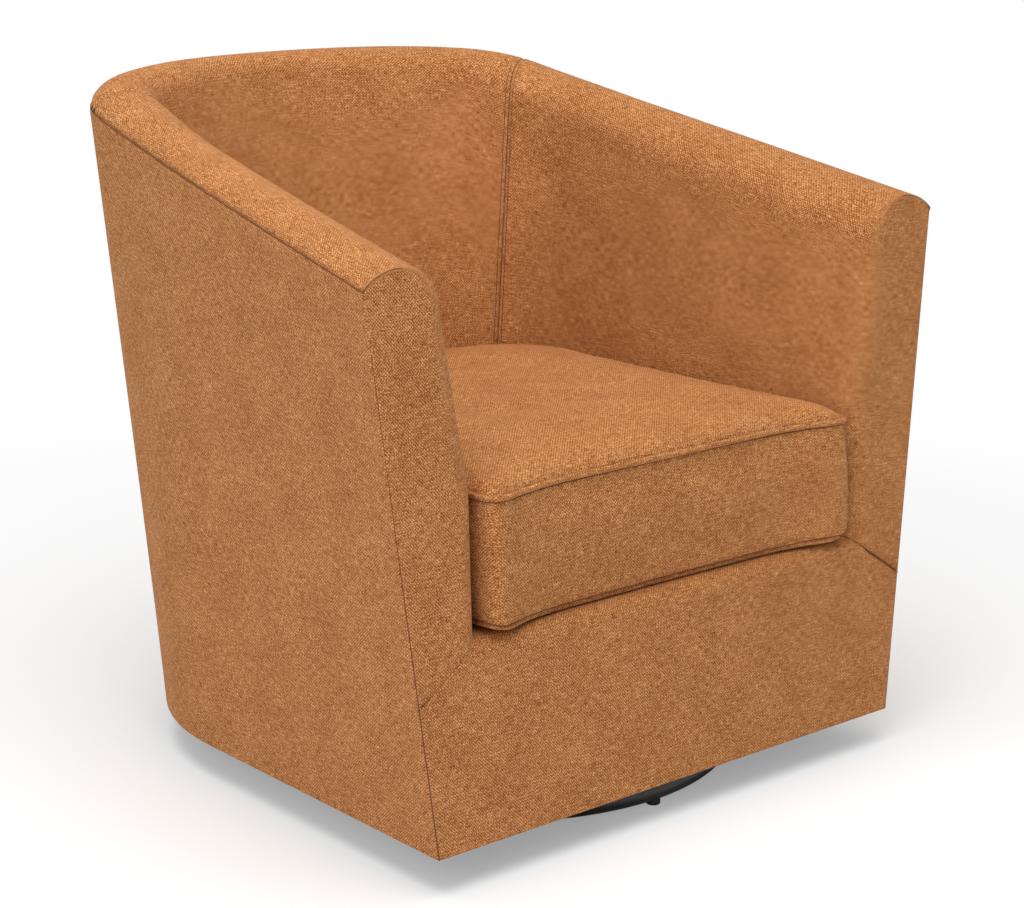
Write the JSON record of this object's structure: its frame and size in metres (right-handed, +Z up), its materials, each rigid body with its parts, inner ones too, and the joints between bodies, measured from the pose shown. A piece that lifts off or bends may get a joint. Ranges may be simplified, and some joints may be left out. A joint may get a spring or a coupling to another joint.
{
  "type": "swivel_chair",
  "caption": "Upholstered barrel armchair in rust woven fabric with a loose welted seat cushion, turning on a black steel ring base.",
  "frame": {"origin": "On the floor, under the middle of the chair's box.", "axes": "+X to the right of someone facing the chair, -Y the chair's front, +Z up."},
  "size_m": [0.7728, 0.7212, 0.735],
  "materials": {
    "rust_fabric": "plain linen-look weave with slubs",
    "padding": "upholstery foam with wadding",
    "dust_cloth": "thin black nonwoven",
    "frame_wood": "raw plywood and softwood",
    "lining_board": "raw fibreboard",
    "black_steel": "satin black powder coat",
    "bright_steel": "zinc plated",
    "black_plastic": "moulded black"
  },
  "bodies": {
    "base": {"base_ring": "black_steel", "base_spokes": "black_steel", "base_glides": "black_plastic", "swivel_lower_plate": "black_steel", "lower_plate_bolts": "bright_steel", "king_pin": "bright_steel", "king_pin_nut": "bright_steel"},
    "bearing": {"ball_cage": "black_plastic", "bearing_balls": "bright_steel"},
    "chair": {"swivel_upper_plate": "black_steel", "upper_plate_bolts": "bright_steel", "bottom_frame": "frame_wood", "seat_frame": "frame_wood", "swivel_board": "frame_wood", "swivel_rails": "frame_wood", "rail_screws": "bright_steel", "lower_posts": "frame_wood", "front_rail": "frame_wood", "left_arm_rail": "frame_wood", "right_arm_rail": "frame_wood", "back_rail": "frame_wood", "left_arm_posts": "frame_wood", "right_arm_posts": "frame_wood", "back_posts": "frame_wood", "left_side_board": "lining_board", "right_side_board": "lining_board", "back_board": "lining_board", "seat_springs": "bright_steel", "spring_clips": "bright_steel", "spring_tie_wires": "bright_steel", "dust_cover": "dust_cloth", "left_arm_foam": "padding", "right_arm_foam": "padding", "back_foam": "padding", "front_rail_pad": "padding", "deck_pad": "padding", "outside_left_cover": "rust_fabric", "outside_right_cover": "rust_fabric", "outside_back_cover": "rust_fabric", "inside_left_cover": "rust_fabric", "inside_right_cover": "rust_fabric", "inside_back_cover": "rust_fabric", "front_cover": "rust_fabric", "deck_cover": "rust_fabric"},
    "cushion": {"cushion_foam": "padding", "cushion_cover": "rust_fabric", "cushion_top_welt": "rust_fabric", "cushion_bottom_welt": "rust_fabric", "cushion_zipper": "black_plastic"},
    "slider": {"zipper_slider": "bright_steel"}
  },
  "joints": [
    {"name": "swivel", "type": "hinge", "parent": "base", "child": "chair", "pos_m": [0, -0.072, 0], "axis": [0, 0, 1], "continuous": true},
    {"name": "cage_turn", "type": "hinge", "parent": "base", "child": "bearing", "pos_m": [0, -0.072, 0], "axis": [0, 0, 1], "continuous": true},
    {"name": "cushion_lift", "type": "slide", "parent": "chair", "child": "cushion", "axis": [0, 0, 1], "range_m": [0, 0.3]},
    {"name": "zipper_slide", "type": "hinge", "parent": "cushion", "child": "slider", "pos_m": [0, -0.42691, 0], "axis": [0, 0, 1], "range_deg": [-26, 0]}
  ],
  "couplings": [
    {"joint": "cage_turn", "follows": "swivel", "ratio": 0.5}
  ]
}
